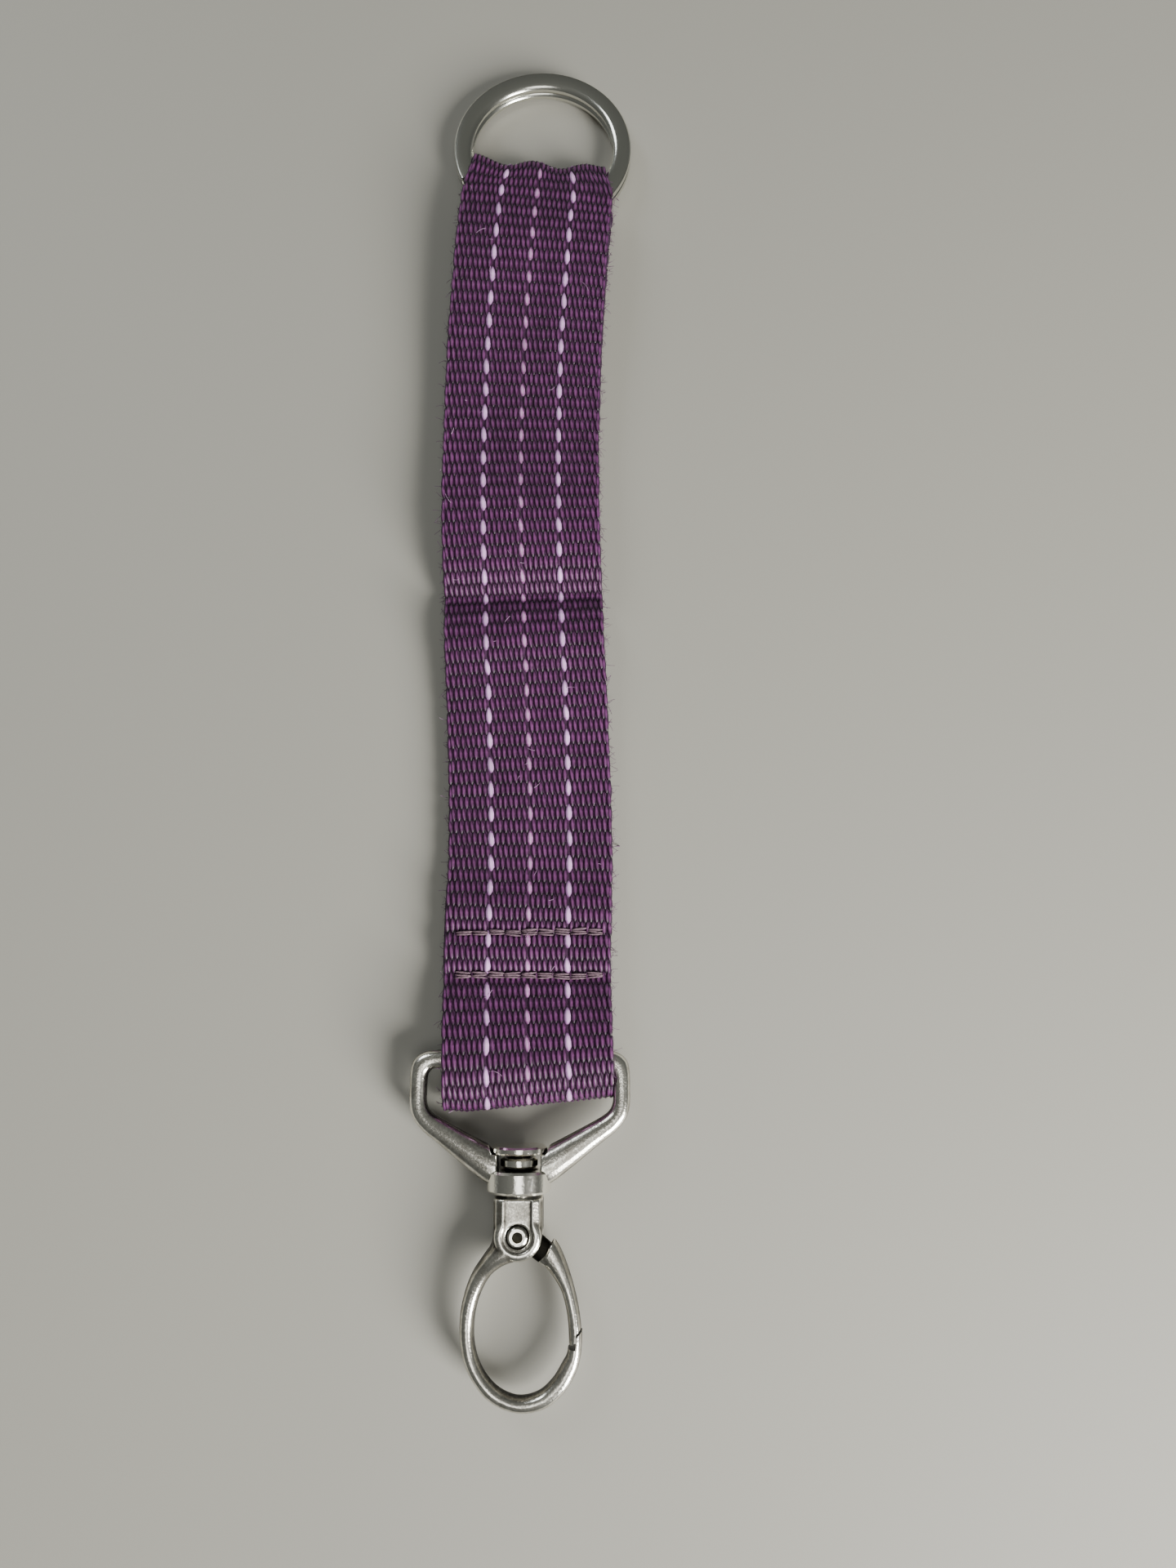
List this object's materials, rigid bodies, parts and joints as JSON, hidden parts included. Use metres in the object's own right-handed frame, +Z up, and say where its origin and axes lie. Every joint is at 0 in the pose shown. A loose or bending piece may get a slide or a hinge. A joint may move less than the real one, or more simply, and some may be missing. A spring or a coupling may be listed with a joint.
{
  "type": "webbing lanyard",
  "caption": "Short sewn webbing strap lanyard with a split ring at one end and a swivel snap hook on a D-shaped bail at the other.",
  "frame": {"origin": "bottom centre of the bounding box", "axes": "+X across the strap, +Y towards the split ring, +Z up from the surface the lanyard lies on"},
  "size_m": [0.0336, 0.2155, 0.0085],
  "materials": {
    "webbing": "dark purple polyester webbing, ribbed weave with three light dashed stripes",
    "thread": "dull mauve-brown sewing thread",
    "ring_nickel": "satin nickel-plated spring steel",
    "antique_casting": "polished gun-metal plated zinc casting, grainy dark recesses",
    "spring_wire": "bright spring wire"
  },
  "bodies": {
    "strap_lower": {"webbing_lower": "webbing", "seam_upper_needle_thread": "thread", "seam_upper_bobbin_thread": "thread", "seam_lower_needle_thread": "thread", "seam_lower_bobbin_thread": "thread"},
    "strap_upper": {"webbing_upper": "webbing"},
    "strap_tip": {"webbing_ring_end": "webbing"},
    "ring": {"split_ring": "ring_nickel"},
    "bail": {"swivel_bail": "antique_casting"},
    "hook": {"hook_body": "antique_casting", "swivel_pin": "antique_casting", "gate_rivet": "antique_casting"},
    "gate": {"gate": "antique_casting", "gate_spring": "spring_wire"}
  },
  "joints": [
    {"name": "strap_flex", "type": "hinge", "parent": "strap_lower", "child": "strap_upper", "pos_m": [0, 0.0126, 0.00195], "axis": [1, 0, 0], "range_deg": [-90, 90]},
    {"name": "strap_tip_flex", "type": "hinge", "parent": "strap_upper", "child": "strap_tip", "pos_m": [0, 0.0729, 0.0035], "axis": [1, 0, 0], "range_deg": [-75, 75]},
    {"name": "ring_spin", "type": "hinge", "parent": "strap_tip", "child": "ring", "pos_m": [0.00173, 0.09265, 0.0029], "axis": [0, 0.0436, 0.999], "continuous": true},
    {"name": "bail_swing", "type": "hinge", "parent": "strap_lower", "child": "bail", "pos_m": [-0.00053, -0.0591, 0.00425], "axis": [1, 0, 0], "range_deg": [-120, 120]},
    {"name": "hook_swivel", "type": "hinge", "parent": "bail", "child": "hook", "pos_m": [-0.00053, -0.0777, 0.00425], "axis": [0, 1, 0], "continuous": true},
    {"name": "gate_pivot", "type": "hinge", "parent": "hook", "child": "gate", "pos_m": [-0.00053, -0.0837, 0.00425], "axis": [0, 0, 1], "range_deg": [-25, 0], "stiffness_Nm_per_rad": 0.02, "springref_deg": 20.05, "deforming": ["gate_spring"]}
  ]
}
